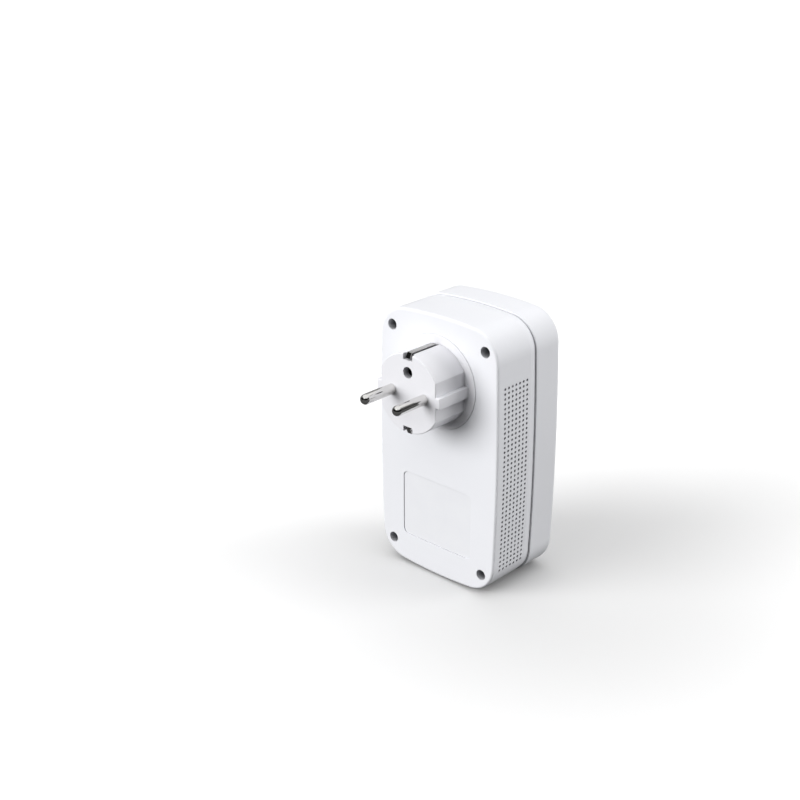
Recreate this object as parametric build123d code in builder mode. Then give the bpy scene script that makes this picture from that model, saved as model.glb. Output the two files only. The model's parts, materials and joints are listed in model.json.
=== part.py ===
from build123d import *

import os

# Plug-through powerline network adapter, in millimetres.
#
# Frame: the origin is midway between the two plug pins, on the plug's flat face. +Y leaves that face
# towards the wall socket, +Z is up, and the pass-through socket and the lights face -Y.
# A "depth" is a distance in front of the plug's face, so it counts along -Y.

# ---------------------------------------------------------------- case
case_width = 72.0
case_height = 131.0
case_depth = 44.5
side_bow = 1.6
end_bow = 2.6
case_corner_radius = 15.5
wall = 2.2
rear_edge_radius = 1.2
front_edge_radius = 3.5

housing_depth = 26.4
housing_step = 0.5
reveal_width = 0.25
reveal_depth = 0.5
seam_slope_length = 3.5
seam_slope_drop = 0.35
tongue_length = 2.0
tongue_clearance = 0.1
overshoot = 1.0

pin_axis_below_top = 31.8

# ---------------------------------------------------------------- plug, type E/F hybrid
pin_spacing = 19.0
pin_radius = 2.4
pin_length = 19.0
pin_neck_radius = 2.1
pin_fit = 0.03
plug_depth = 19.4
barrel_radius = 18.6
barrel_flat = 16.2
rib_height = 5.0
flange_radius = 22.5
flange_proud = 0.4
flange_edge_radius = 0.3
flange_clearance = 0.05
plug_edge_radius = 0.5
plug_seat_radius = 24.5
plug_seat_thickness = 2.0
plug_core_radius = 19.6
plug_core_length = 4.8
pin_shoulder_radius = 3.4
pin_shoulder = 0.6
pin_tail_radius = 1.8

earth_hole_offset = 10.0
earth_hole_radius = 2.65
earth_mouth = 3.0
sleeve_wall = 0.6
sleeve_length = 16.0
sleeve_end = 1.0
sleeve_slot = 0.7
sleeve_slot_length = 3.0
sleeve_stem_radius = 1.2

clip_width = 2.4
clip_thickness = 0.6
clip_groove_width = 3.6
clip_mouth_width = 5.4
clip_mouth_length = 2.0
clip_groove_length = 18.6
clip_groove_floor = 15.7
clip_root = 16.6
clip_reach = 18.9
clip_slot_clearance = 0.1
clip_foot = 0.6
clip_rise = 2.2
clip_lip = 1.4
clip_tip = 0.4

# ---------------------------------------------------------------- screws of the case
screw_spacing_x = 54.8
screw_spacing_z = 109.2
screw_well_radius = 2.6
screw_well_wall = 1.5
screw_well_depth = 14.0
screw_seat = 2.0
screw_radius = 1.5
screw_clearance = 0.3
screw_length = 14.0
screw_head_radius = 2.4
screw_head_height = 2.0
screw_head_chamfer = 0.4
screw_recess_length = 3.0
screw_recess_width = 0.7
screw_recess_depth = 1.2
boss_radius = 3.4
boss_gap = 0.2
boss_wall_gap = 0.3
pilot_clearance = 0.04

# ---------------------------------------------------------------- label and vents
label_width = 41.6
label_height = 32.9
label_drop = 66.65
label_radius = 2.8
label_recess = 0.5
label_margin = 0.25
label_film = 0.15

vent_radius = 0.65
vent_columns = 7
vent_rows = 40
vent_pitch_depth = 2.56
vent_pitch_z = 2.3
vent_first_depth = 5.0
vent_top_z = 4.3

# ---------------------------------------------------------------- pass-through socket
well_radius = 19.8
well_depth = 17.5
well_flat = 17.0
well_slot = 6.6
well_wall = 1.8
well_floor = 2.5
well_clearance = 0.2
well_seat_radius = 24.2
well_seat_thickness = 1.8
socket_hole_radius = 2.75
mouth_radius = 0.8

contact_bore_radius = 2.45
contact_wall = 0.7
contact_base = 0.8
contact_slit = 0.8
contact_slit_start = 3.0
busbar_width = 5.0
busbar_thickness = 0.8
busbar_eye_radius = 4.2
busbar_gap = 0.4
busbar_foot_drop = 5.0
busbar_foot_width = 2.4
busbar_foot_height = 1.0
busbar_foot_reach = 1.0
busbar_foot_clearance = 0.2
earth_ring_inner = 15.4
earth_ring_outer = 18.3
earth_ring_thickness = 0.8
earth_ring_gap = 0.6
earth_ring_arm = 4.0

carrier_radius = 20.4
carrier_thickness = 8.4
carrier_rim = 3.2
carrier_hole_clearance = 0.3
blade_width = 5.0
blade_thickness = 0.6
blade_radius_out = 17.6
blade_slot_clearance = 0.35
blade_foot = 1.0
blade_waist = 6.0
blade_spring = 1.5
blade_tip = 5.0
blade_flare = 0.6

shutter_thickness = 1.6
shutter_gap = 0.3
shutter_arm_width = 5.8
shutter_reach = 12.5
shutter_hub_radius = 4.2
shutter_open_angle = 36.0
pivot_radius = 1.5
pivot_clearance = 0.05
pivot_end_gap = 0.15
shutter_chamfer = 0.5
stop_inset = 1.5
stop_radius = 1.0
stop_gap = 0.1
spring_wire = 0.5
spring_radius = 2.5
spring_pitch = 0.8
spring_height = 1.6
spring_pocket_radius = 3.3
spring_pocket_depth = 2.6

# ---------------------------------------------------------------- boards
board_thickness = 1.6
power_board_standoff = 3.4
power_board_width = 60.0
power_board_height = 46.0
power_board_top = -26.0
main_board_depth = 42.4
main_board_width = 62.0
main_board_top = -27.0
main_board_upper_height = 55.0
main_board_end_gap = 1.5
main_board_foot_width = 43.0
board_screw_radius = 1.25
board_screw_head_radius = 2.2
board_screw_head = 1.4
board_screw_length = 6.0
board_post_radius = 2.6
board_hole_clearance = 0.2
board_screw_room = 0.4
board_post_x = 27.0
main_post_drops = (5.0, 49.0)
power_post_drops = (4.0, 42.0)

board_corner_radius = 1.5

# ---------------------------------------------------------------- what stands on the power board
filter_row_drop = 12.5
fuse_x = -21.0
fuse_radius = 4.2
fuse_height = 8.0
varistor_x = 20.0
varistor_radius = 6.0
varistor_thickness = 4.0
varistor_edge = 1.2
varistor_standoff = 0.6
x2_capacitor_x = -0.5
x2_capacitor_size = (17.5, 8.5, 14.0)
x2_capacitor_edge = 0.8

choke_x = -19.5
choke_drop = 26.5
choke_radius = 5.6
choke_hole_radius = 3.4
choke_thickness = 6.0
choke_standoff = 1.3
choke_edge = 0.4
winding_wire = 0.65
winding_gap = 0.05
winding_angles = (-50, -25, 0, 25, 50, 130, 155, 180, 205, 230)

can_edge = 0.5
bulk_capacitor_radius = 5.0
bulk_capacitor_height = 14.2
bulk_capacitor_x = (-20.5, -9.2)
bulk_capacitor_drop = 38.8
output_capacitor_radius = 3.9
output_capacitor_height = 11.0
output_capacitor_x = 24.5
output_capacitor_drop = 29.0

bridge_place = (-7.5, -25.5)
bridge_size = (8.0, 6.5, 2.6)
bridge_edge = 0.4
switching_chip_place = (-1.5, -33.0)
switching_chip_size = (5.0, 4.0, 1.6)
chip_edge = 0.2
coupling_place = (2.5, -42.6)
coupling_size = (7.0, 4.6, 4.5)
coupling_edge = 0.3

transformer_x = 10.5
transformer_drop = 30.0
transformer_width = 16.0
transformer_height = 19.0
transformer_window_width = 9.0
transformer_window_height = 5.4
transformer_window_offset = 5.0
transformer_core_thickness = 5.6
bobbin_width = 14.4
bobbin_height = 19.4
bobbin_foot = 3.6
bobbin_gap = 0.2
bobbin_clearance = 0.4
bobbin_cap_width = 12.6
bobbin_cap_height = 14.8
bobbin_cap = 2.4

header_x = 17.0
header_drop = 42.6
header_width = 12.8
header_body = 2.5
header_pins = 5
header_pitch = 2.54
header_pin = 0.64

# ---------------------------------------------------------------- what stands on the main board
processor_x = 14.0
processor_z = -64.0
processor_size = (14.0, 14.0, 1.4)
sink_size = 18.0
sink_base = 1.6
fin_count = 7
fin_pitch = 2.6
fin_thickness = 0.9
fin_height = 6.5
memory_place = (-14.5, -62.0)
memory_size = (9.0, 13.0, 1.1)
line_driver_place = (-13.5, -79.5)
line_driver_size = (7.0, 7.0, 0.9)
lan_transformer_place = (4.0, -83.5)
lan_transformer_size = (16.0, 7.2, 5.2)
crystal_place = (0.0, -74.5)
crystal_length = 10.6
crystal_width = 4.6
crystal_height = 3.4
package_edge = 0.3
sheet_thickness = 0.25
sheet_gap = 0.1
sheet_side_margin = 7.0
sheet_end_margin = 1.5
sheet_cut_margin = 0.6

# ---------------------------------------------------------------- network jack
jack_width = 16.0
jack_height = 13.4
jack_length = 21.3
jack_recess = 0.7
jack_shield = 0.3
jack_window_clearance = 0.25
bezel_width = 24.0
bezel_height = 19.0
bezel_clearance = 0.1
bezel_sink = 0.4
bezel_thickness = 1.8
bezel_lip = 1.0
bezel_lip_gap = 0.5
bezel_lip_thickness = 0.8
jack_bore_width = 11.9
jack_bore_height = 6.9
jack_bore_depth = 14.5
jack_latch_width = 6.2
jack_latch_height = 2.0
jack_floor = 1.9
jack_wire_pitch = 1.02
jack_wire = 0.35
jack_wires = 8
jack_wire_tip = 3.0
jack_wire_bend = 4.2
jack_wire_lift = 0.6
jack_wire_reach = 2.2
join_overlap = 0.02

# ---------------------------------------------------------------- pair button, switch and lights
button_radius = 5.4
button_clearance = 0.15
button_drop = 52.0
button_proud = 0.3
button_flange_radius = 6.8
button_flange = 0.9
button_stem_radius = 1.6
button_travel = 0.25
button_edge_radius = 0.5
switch_size = 6.0
switch_height = 3.2
switch_edge_radius = 0.4
plunger_radius = 1.7
plunger_height = 1.1
plunger_clearance = 0.1
plunger_edge_radius = 0.2
switch_floor = 1.2
plunger_floor_gap = 0.15

light_count = 3
light_pitch = 8.0
light_drop = 34.0
light_window_width = 4.6
light_window_height = 1.6
light_clearance = 0.1
light_base_thickness = 1.5
light_base_margin = 1.0
led_width = 3.0
led_depth = 1.6
led_height = 0.9
led_gap = 0.4

# ---------------------------------------------------------------- worked out from the above
rear_face = plug_depth
front_face = rear_face + case_depth
case_top = pin_axis_below_top
case_centre_z = case_top - case_height / 2
rear_inside = rear_face + wall
front_inside = front_face - wall
seam = rear_face + housing_depth
cover_rim = seam + reveal_width
tongue_end = cover_rim + tongue_length

plug_back = rear_inside + plug_core_length
busbar_depth = plug_back + pin_shoulder
contact_depth = busbar_depth + busbar_thickness + busbar_gap
earth_ring_depth = contact_depth + earth_ring_gap + contact_base
well_floor_front = front_face - well_depth
well_back = well_floor_front - well_floor
carrier_front = well_back - shutter_thickness - 2 * shutter_gap
carrier_back = carrier_front - carrier_thickness
contact_end = carrier_front - shutter_gap
screw_seat_depth = rear_face + screw_well_depth
boss_start = screw_seat_depth + screw_seat + boss_gap

power_board_depth = rear_inside + power_board_standoff
power_board_face = power_board_depth + board_thickness
power_board_z = power_board_top - power_board_height / 2
main_board_face = main_board_depth + board_thickness

pin_points = [(-pin_spacing / 2, 0), (pin_spacing / 2, 0)]
screw_points = [
    (x * screw_spacing_x / 2, case_centre_z + z * screw_spacing_z / 2)
    for x in (-1, 1)
    for z in (-1, 1)
]
main_post_points = [(x * board_post_x, main_board_top - drop) for x in (-1, 1) for drop in main_post_drops]
power_post_points = [(x * board_post_x, power_board_top - drop) for x in (-1, 1) for drop in power_post_drops]
light_points = [((i - (light_count - 1) / 2) * light_pitch, -light_drop) for i in range(light_count)]

os.makedirs("parts", exist_ok=True)


def at_depth(depth):
    # A plane across the adapter: sketch x is +X, sketch y is +Z, and extrusions run towards the front.
    return Plane.XZ.offset(depth)


def save(piece, label):
    piece.part.label = label
    export_step(piece.part, f"parts/{label}.step")


def case_outline(width, height, radius):
    # A rounded rectangle whose four sides bow gently outwards, centred on the case.
    x = width / 2 - side_bow
    z = height / 2 - end_bow
    with BuildSketch() as outline:
        with BuildLine():
            ThreePointArc((-x, z), (0, height / 2), (x, z))
            ThreePointArc((x, z), (width / 2, 0), (x, -z))
            ThreePointArc((x, -z), (0, -height / 2), (-x, -z))
            ThreePointArc((-x, -z), (-width / 2, 0), (-x, z))
        make_face()
        fillet(outline.vertices(), radius)
    return outline.sketch.moved(Location((0, case_centre_z, 0)))


def inset_outline(inset):
    # The case outline, drawn in by the same distance all round.
    return case_outline(case_width - 2 * inset, case_height - 2 * inset, case_corner_radius - inset)


def keyed_profile(radius, flat, slot):
    # A disc with a flat at each side, and a rib that reaches the full disc across the middle.
    with BuildSketch() as profile:
        Circle(radius)
        with BuildSketch(mode=Mode.INTERSECT):
            Rectangle(2 * flat, 2 * (radius + overshoot))
            Rectangle(2 * (radius + overshoot), slot)
    return profile.sketch


def block(x, z, size, start, edge):
    # A block of (width, height, thickness) that stands on a board, with its upright edges rounded.
    width, height, thickness = size
    with BuildPart() as body:
        with BuildSketch(at_depth(start)):
            with Locations((x, z)):
                RectangleRounded(width, height, edge)
        extrude(amount=thickness)
    return body


housing_profile = inset_outline(housing_step)
tongue_profile = inset_outline(housing_step + reveal_depth)
housing_cavity = inset_outline(housing_step + wall)
cover_profile = inset_outline(0.0)
cover_cavity = inset_outline(wall)
cover_rebate = inset_outline(housing_step + reveal_depth - tongue_clearance)
boss_limit = inset_outline(housing_step + wall + boss_wall_gap)
barrel_profile = keyed_profile(barrel_radius, barrel_flat, rib_height)
well_profile = keyed_profile(well_radius, well_flat, well_slot)

# ---------------------------------------------------------------- rear housing
jack_mid_depth = main_board_depth - jack_height / 2
housing_bottom = case_centre_z - case_height / 2 + housing_step
jack_mouth_z = housing_bottom + jack_recess

with BuildPart() as rear_housing:
    with BuildSketch(at_depth(rear_face)):
        add(housing_profile)
    extrude(amount=housing_depth)
    fillet(rear_housing.faces().sort_by(Axis.Y)[-1].edges(), rear_edge_radius)
    # The sides draw in a little towards the seam.
    seam_face = rear_housing.faces().sort_by(Axis.Y)[0]
    chamfer(seam_face.edges(), seam_slope_drop, seam_slope_length, reference=seam_face)
    with BuildSketch(at_depth(seam)):
        add(tongue_profile)
    extrude(amount=tongue_end - seam)
    with BuildSketch(at_depth(rear_inside)):
        add(housing_cavity)
    extrude(amount=tongue_end - rear_inside, mode=Mode.SUBTRACT)
    # Deep wells for the case screws, each with a seat near its far end.
    with BuildSketch(at_depth(rear_inside)):
        with Locations(*screw_points):
            Circle(screw_well_radius + screw_well_wall)
    extrude(amount=screw_seat_depth + screw_seat - rear_inside)
    with BuildSketch(at_depth(rear_face)):
        with Locations(*screw_points):
            Circle(screw_well_radius)
    extrude(amount=screw_well_depth, mode=Mode.SUBTRACT)
    with BuildSketch(at_depth(screw_seat_depth)):
        with Locations(*screw_points):
            Circle(screw_radius + screw_clearance)
    extrude(amount=screw_seat, mode=Mode.SUBTRACT)
    # Posts for the power board.
    with BuildSketch(at_depth(rear_inside)):
        with Locations(*power_post_points):
            Circle(board_post_radius)
    extrude(amount=power_board_standoff)
    with BuildSketch(at_depth(power_board_depth)):
        with Locations(*power_post_points):
            Circle(board_screw_radius + pilot_clearance)
    extrude(amount=-(board_screw_length - board_thickness + board_screw_room), mode=Mode.SUBTRACT)
    # Round opening for the plug, and the shallow recess for the rating label.
    with BuildSketch(at_depth(rear_face)):
        Circle(flange_radius + flange_clearance)
    extrude(amount=wall, mode=Mode.SUBTRACT)
    with BuildSketch(at_depth(rear_face)):
        with Locations((0, -label_drop)):
            RectangleRounded(label_width, label_height, label_radius)
    extrude(amount=label_recess, mode=Mode.SUBTRACT)
    # Window for the network jack's bezel in the bottom wall.
    with BuildSketch(Plane.XY.offset(housing_bottom - overshoot)):
        with Locations((0, -jack_mid_depth)):
            Rectangle(bezel_width + 2 * bezel_clearance, bezel_height + 2 * bezel_clearance)
    extrude(amount=wall + 2 * overshoot, mode=Mode.SUBTRACT)
    # Cooling holes through both side walls.
    vent_middle_depth = rear_face + vent_first_depth + vent_pitch_depth * (vent_columns - 1) / 2
    vent_middle_z = vent_top_z - vent_pitch_z * (vent_rows - 1) / 2
    for side in (-1, 1):
        with BuildSketch(Plane.YZ.offset(side * (case_width / 2 + overshoot))):
            with Locations((-vent_middle_depth, vent_middle_z)):
                with GridLocations(vent_pitch_depth, vent_pitch_z, vent_columns, vent_rows):
                    Circle(vent_radius)
        extrude(amount=-side * (wall + side_bow + overshoot), mode=Mode.SUBTRACT)
save(rear_housing, "rear_housing")

# ---------------------------------------------------------------- front cover
with BuildPart() as front_cover:
    with BuildSketch(at_depth(cover_rim)):
        add(cover_profile)
    extrude(amount=front_face - cover_rim)
    fillet(front_cover.faces().sort_by(Axis.Y)[0].edges(), front_edge_radius)
    with BuildSketch(at_depth(cover_rim)):
        add(cover_cavity)
    extrude(amount=front_inside - cover_rim, mode=Mode.SUBTRACT)
    with BuildSketch(at_depth(cover_rim)):
        add(cover_rebate)
    extrude(amount=tongue_length + 2 * tongue_clearance, mode=Mode.SUBTRACT)
    # Bosses that take the case screws, and posts that carry the main board.
    with BuildSketch(at_depth(boss_start)):
        with Locations(*screw_points):
            Circle(boss_radius)
        add(boss_limit, mode=Mode.INTERSECT)
    extrude(amount=front_inside - boss_start)
    with BuildSketch(at_depth(boss_start)):
        with Locations(*screw_points):
            Circle(screw_radius + pilot_clearance)
    extrude(amount=screw_length, mode=Mode.SUBTRACT)
    with BuildSketch(at_depth(main_board_face)):
        with Locations(*main_post_points):
            Circle(board_post_radius)
    extrude(amount=front_inside - main_board_face)
    with BuildSketch(at_depth(main_board_face)):
        with Locations(*main_post_points):
            Circle(board_screw_radius + pilot_clearance)
    extrude(amount=board_screw_length, mode=Mode.SUBTRACT)
    # Openings for the socket, the pair button and the lights.
    with BuildSketch(at_depth(front_inside)):
        Circle(well_radius + well_wall + well_clearance)
        with Locations((0, -button_drop)):
            Circle(button_radius + button_clearance)
        with Locations(*light_points):
            SlotOverall(light_window_width + 2 * light_clearance, light_window_height + 2 * light_clearance)
    extrude(amount=wall, mode=Mode.SUBTRACT)
save(front_cover, "front_cover")

# ---------------------------------------------------------------- case screws
with BuildPart() as housing_screws:
    with BuildSketch(at_depth(screw_seat_depth)):
        with Locations(*screw_points):
            Circle(screw_head_radius)
    extrude(amount=-screw_head_height)
    chamfer(housing_screws.faces().sort_by(Axis.Y)[-1].edges(), screw_head_chamfer)
    with BuildSketch(at_depth(screw_seat_depth)):
        with Locations(*screw_points):
            Circle(screw_radius)
    extrude(amount=screw_length)
    with BuildSketch(at_depth(screw_seat_depth - screw_head_height)):
        with Locations(*screw_points):
            Rectangle(screw_recess_length, screw_recess_width)
            Rectangle(screw_recess_width, screw_recess_length)
    extrude(amount=screw_recess_depth, mode=Mode.SUBTRACT)
save(housing_screws, "housing_screws")

# ---------------------------------------------------------------- rating label, blank
with BuildPart() as rating_label:
    with BuildSketch(at_depth(rear_face + label_recess)):
        with Locations((0, -label_drop)):
            RectangleRounded(label_width - 2 * label_margin, label_height - 2 * label_margin, label_radius)
    extrude(amount=-label_film)
save(rating_label, "rating_label")

# ---------------------------------------------------------------- plug body
sleeve_radius = earth_hole_radius + sleeve_wall

with BuildPart() as plug_body:
    with BuildSketch(at_depth(0)):
        add(barrel_profile)
    extrude(amount=rear_face)
    fillet(plug_body.faces().sort_by(Axis.Y)[-1].edges(), plug_edge_radius)
    with BuildSketch(at_depth(rear_face - flange_proud)):
        Circle(flange_radius)
    extrude(amount=flange_proud + wall)
    flange_rims = plug_body.edges().filter_by(lambda edge: edge.geom_type == GeomType.CIRCLE)
    flange_rims = flange_rims.filter_by(lambda edge: abs(edge.radius - flange_radius) < pin_fit)
    fillet(flange_rims.sort_by(Axis.Y)[-1], flange_edge_radius)
    with BuildSketch(at_depth(rear_inside)):
        Circle(plug_seat_radius)
    extrude(amount=plug_seat_thickness)
    with BuildSketch(at_depth(rear_inside)):
        Circle(plug_core_radius)
    extrude(amount=plug_core_length)
    with BuildSketch(at_depth(0)):
        with Locations(*pin_points):
            Circle(pin_neck_radius + pin_fit)
    extrude(amount=plug_back, mode=Mode.SUBTRACT)
    # Socket for an earth pin, with room behind its mouth for the contact sleeve.
    with BuildSketch(at_depth(0)):
        with Locations((0, earth_hole_offset)):
            Circle(earth_hole_radius)
    extrude(amount=plug_back, mode=Mode.SUBTRACT)
    with BuildSketch(at_depth(earth_mouth)):
        with Locations((0, earth_hole_offset)):
            Circle(sleeve_radius + pin_fit)
    extrude(amount=plug_back - earth_mouth, mode=Mode.SUBTRACT)
    # Grooves for the two earth clips, and the slots that their tails pass through.
    for side in (-1, 1):
        with BuildSketch(at_depth(0)):
            with Locations((0, side * (clip_groove_floor + barrel_radius + overshoot) / 2)):
                Rectangle(clip_groove_width, barrel_radius - clip_groove_floor + overshoot)
        extrude(amount=clip_groove_length, mode=Mode.SUBTRACT)
        with BuildSketch(at_depth(0)):
            with Locations((0, side * (clip_groove_floor + barrel_radius + overshoot) / 2)):
                Rectangle(clip_mouth_width, barrel_radius - clip_groove_floor + overshoot)
        extrude(amount=clip_mouth_length, mode=Mode.SUBTRACT)
        with BuildSketch(at_depth(clip_groove_length)):
            with Locations((0, side * clip_root)):
                Rectangle(clip_width + 2 * clip_slot_clearance, clip_thickness + 2 * clip_slot_clearance)
        extrude(amount=plug_back - clip_groove_length, mode=Mode.SUBTRACT)
save(plug_body, "plug_body")

# ---------------------------------------------------------------- plug pins
for side, label in ((-1, "line_pin"), (1, "neutral_pin")):
    x = side * pin_spacing / 2
    with BuildPart() as pin:
        with BuildSketch(Plane(origin=(x, 0, 0), x_dir=(1, 0, 0), z_dir=(0, 0, 1))):
            with BuildLine():
                tip = pin_length - pin_radius
                JernArc((0, pin_length), (1, 0), pin_radius, -90)
                Polyline(
                    (pin_radius, tip),
                    (pin_radius, 0),
                    (pin_neck_radius, 0),
                    (pin_neck_radius, -plug_back),
                    (pin_shoulder_radius, -plug_back),
                    (pin_shoulder_radius, -busbar_depth),
                    (pin_tail_radius, -busbar_depth),
                    (pin_tail_radius, -contact_depth),
                    (0, -contact_depth),
                    (0, pin_length),
                )
            make_face()
        revolve(axis=Axis((x, 0, 0), (0, 1, 0)))
    save(pin, label)

# ---------------------------------------------------------------- plug earth contacts
for side, label in ((1, "plug_earth_clip_top"), (-1, "plug_earth_clip_bottom")):
    with BuildPart() as clip:
        with BuildSketch(Plane.YZ.offset(-clip_width / 2)) as strip:
            with BuildLine() as bend:
                Polyline(
                    (-earth_ring_depth, side * clip_root),
                    (-clip_groove_length + clip_foot, side * clip_root),
                    (-clip_groove_length + clip_rise, side * clip_reach),
                    (-clip_lip, side * clip_reach),
                    (-clip_tip, side * clip_root),
                )
            trace(bend.line, clip_thickness)
        extrude(amount=clip_width)
        # The tail is cut square where it meets the earth ring.
        split(bisect_by=Plane.XZ.offset(earth_ring_depth), keep=Keep.BOTTOM)
    save(clip, label)

with BuildPart() as earth_sleeve:
    with BuildSketch(at_depth(earth_mouth)):
        with Locations((0, earth_hole_offset)):
            Circle(sleeve_radius)
    extrude(amount=sleeve_length)
    with BuildSketch(at_depth(earth_mouth)):
        with Locations((0, earth_hole_offset)):
            Circle(earth_hole_radius)
    extrude(amount=sleeve_length - sleeve_end, mode=Mode.SUBTRACT)
    with BuildSketch(at_depth(earth_mouth)):
        with Locations((0, earth_hole_offset)):
            Rectangle(sleeve_slot, 2 * (sleeve_radius + overshoot))
            Rectangle(2 * (sleeve_radius + overshoot), sleeve_slot)
    extrude(amount=sleeve_slot_length, mode=Mode.SUBTRACT)
    with BuildSketch(at_depth(earth_mouth + sleeve_length)):
        with Locations((0, earth_hole_offset)):
            Circle(sleeve_stem_radius)
    extrude(amount=earth_ring_depth - earth_mouth - sleeve_length)
save(earth_sleeve, "plug_earth_sleeve")

with BuildPart() as earth_ring:
    with BuildSketch(at_depth(earth_ring_depth)):
        Circle(earth_ring_outer)
        Circle(earth_ring_inner, mode=Mode.SUBTRACT)
        with Locations((0, (earth_hole_offset + earth_ring_inner) / 2)):
            Rectangle(earth_ring_arm, earth_ring_inner - earth_hole_offset + earth_ring_arm)
    extrude(amount=earth_ring_thickness)
save(earth_ring, "earth_ring")

# ---------------------------------------------------------------- live busbars and socket contacts
busbar_end_z = power_board_top - busbar_foot_drop
busbar_foot_z = busbar_end_z + busbar_foot_height / 2

for side, name in ((-1, "line"), (1, "neutral")):
    x = side * pin_spacing / 2
    with BuildPart() as busbar:
        with BuildSketch(at_depth(busbar_depth)):
            with Locations((x, 0)):
                Circle(busbar_eye_radius)
            with Locations((x, busbar_end_z / 2)):
                Rectangle(busbar_width, -busbar_end_z)
            with Locations((x, 0)):
                Circle(pin_tail_radius + pin_fit, mode=Mode.SUBTRACT)
        extrude(amount=busbar_thickness)
        with BuildSketch(at_depth(busbar_depth)):
            with Locations((x, busbar_foot_z)):
                Rectangle(busbar_foot_width, busbar_foot_height)
        extrude(amount=-(busbar_depth - power_board_depth + busbar_foot_reach))
    save(busbar, f"{name}_busbar")

    with BuildPart() as contact:
        with BuildSketch(at_depth(contact_depth)):
            with Locations((x, 0)):
                Circle(contact_bore_radius + contact_wall)
        extrude(amount=contact_end - contact_depth)
        with BuildSketch(at_depth(contact_depth + contact_base)):
            with Locations((x, 0)):
                Circle(contact_bore_radius)
        extrude(amount=contact_end - contact_depth - contact_base, mode=Mode.SUBTRACT)
        with BuildSketch(at_depth(contact_depth + contact_slit_start)):
            with Locations((x, 0)):
                Rectangle(contact_slit, 2 * (contact_bore_radius + contact_wall + overshoot))
                Rectangle(2 * (contact_bore_radius + contact_wall + overshoot), contact_slit)
        extrude(amount=contact_end - contact_depth - contact_slit_start, mode=Mode.SUBTRACT)
    save(contact, f"{name}_socket_contact")

# ---------------------------------------------------------------- socket insert
with BuildPart() as socket_insert:
    with BuildSketch(at_depth(well_back)):
        Circle(well_radius + well_wall)
    extrude(amount=front_face - well_back)
    with BuildSketch(at_depth(front_inside - well_seat_thickness)):
        Circle(well_seat_radius)
    extrude(amount=well_seat_thickness)
    with BuildSketch(at_depth(well_floor_front)):
        add(well_profile)
    extrude(amount=well_depth, mode=Mode.SUBTRACT)
    with BuildSketch(at_depth(well_back)):
        with Locations(*pin_points):
            Circle(socket_hole_radius)
        with Locations((0, blade_radius_out), (0, -blade_radius_out)):
            Rectangle(blade_width + 2 * blade_slot_clearance, blade_thickness + 2 * blade_slot_clearance)
    extrude(amount=well_floor, mode=Mode.SUBTRACT)
    fillet(socket_insert.faces().sort_by(Axis.Y)[0].inner_wires().edges(), mouth_radius)
save(socket_insert, "socket_insert")

# ---------------------------------------------------------------- contact carrier
with BuildPart() as contact_carrier:
    with BuildSketch(at_depth(carrier_back)):
        Circle(carrier_radius)
    extrude(amount=carrier_thickness)
    with BuildSketch(at_depth(carrier_front)):
        Circle(carrier_radius)
        Circle(carrier_radius - carrier_rim, mode=Mode.SUBTRACT)
    extrude(amount=well_back - carrier_front)
    with BuildSketch(at_depth(carrier_back)):
        with Locations(*pin_points):
            Circle(contact_bore_radius + contact_wall + carrier_hole_clearance)
        with Locations((0, blade_radius_out), (0, -blade_radius_out)):
            Rectangle(blade_width + 2 * blade_slot_clearance, blade_thickness + 2 * blade_slot_clearance)
    extrude(amount=well_back - carrier_back, mode=Mode.SUBTRACT)
    # Pocket for the shutter spring, with the shutter's pivot standing in it.
    with BuildSketch(at_depth(carrier_front)):
        Circle(spring_pocket_radius)
        Circle(pivot_radius, mode=Mode.SUBTRACT)
    extrude(amount=-spring_pocket_depth, mode=Mode.SUBTRACT)
    with BuildSketch(at_depth(carrier_front)):
        Circle(pivot_radius)
    extrude(amount=well_back - carrier_front - pivot_end_gap)
    # Stops that the shutter's arms meet when it is shut and when it is open.
    stop_offset = shutter_arm_width / 2 + stop_radius + stop_gap
    shut_stop = Vector(shutter_reach - stop_inset, stop_offset)
    open_stop = Vector(shutter_reach - stop_inset, -stop_offset).rotate(Axis.Z, -shutter_open_angle)
    with BuildSketch(at_depth(carrier_front)):
        for stop in (shut_stop, -shut_stop, open_stop, -open_stop):
            with Locations((stop.X, stop.Y)):
                Circle(stop_radius)
    extrude(amount=shutter_thickness + shutter_gap)
save(contact_carrier, "contact_carrier")

# ---------------------------------------------------------------- safety shutter and its spring
with BuildPart() as socket_shutter:
    with BuildSketch(at_depth(carrier_front + shutter_gap)):
        SlotOverall(2 * shutter_reach, shutter_arm_width)
        Circle(shutter_hub_radius)
        Circle(pivot_radius + pivot_clearance, mode=Mode.SUBTRACT)
    extrude(amount=shutter_thickness)
    chamfer(socket_shutter.faces().sort_by(Axis.Y)[0].outer_wire().edges(), shutter_chamfer)
save(socket_shutter, "socket_shutter")

spring_bottom = carrier_front - spring_pocket_depth + spring_wire
with BuildPart() as shutter_spring:
    with BuildLine():
        coil = Helix(
            spring_pitch, spring_height, spring_radius, center=(0, -spring_bottom, 0), direction=(0, -1, 0)
        )
    with BuildSketch(Plane(origin=coil @ 0, z_dir=coil % 0)):
        Circle(spring_wire / 2)
    sweep()
save(shutter_spring, "shutter_spring")

# ---------------------------------------------------------------- socket earth blades
for side, label in ((1, "socket_earth_blade_top"), (-1, "socket_earth_blade_bottom")):
    with BuildPart() as blade:
        with BuildSketch(Plane.YZ.offset(-blade_width / 2)):
            with BuildLine() as bend:
                Polyline(
                    (-earth_ring_depth - earth_ring_thickness, side * blade_radius_out),
                    (-well_floor_front - blade_foot, side * blade_radius_out),
                    (-well_floor_front - blade_waist, side * (blade_radius_out - blade_spring)),
                    (-front_face + blade_tip, side * (blade_radius_out + blade_flare)),
                )
            trace(bend.line, blade_thickness)
        extrude(amount=blade_width)
        split(bisect_by=Plane.XZ.offset(earth_ring_depth + earth_ring_thickness), keep=Keep.TOP)
    save(blade, label)

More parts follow.
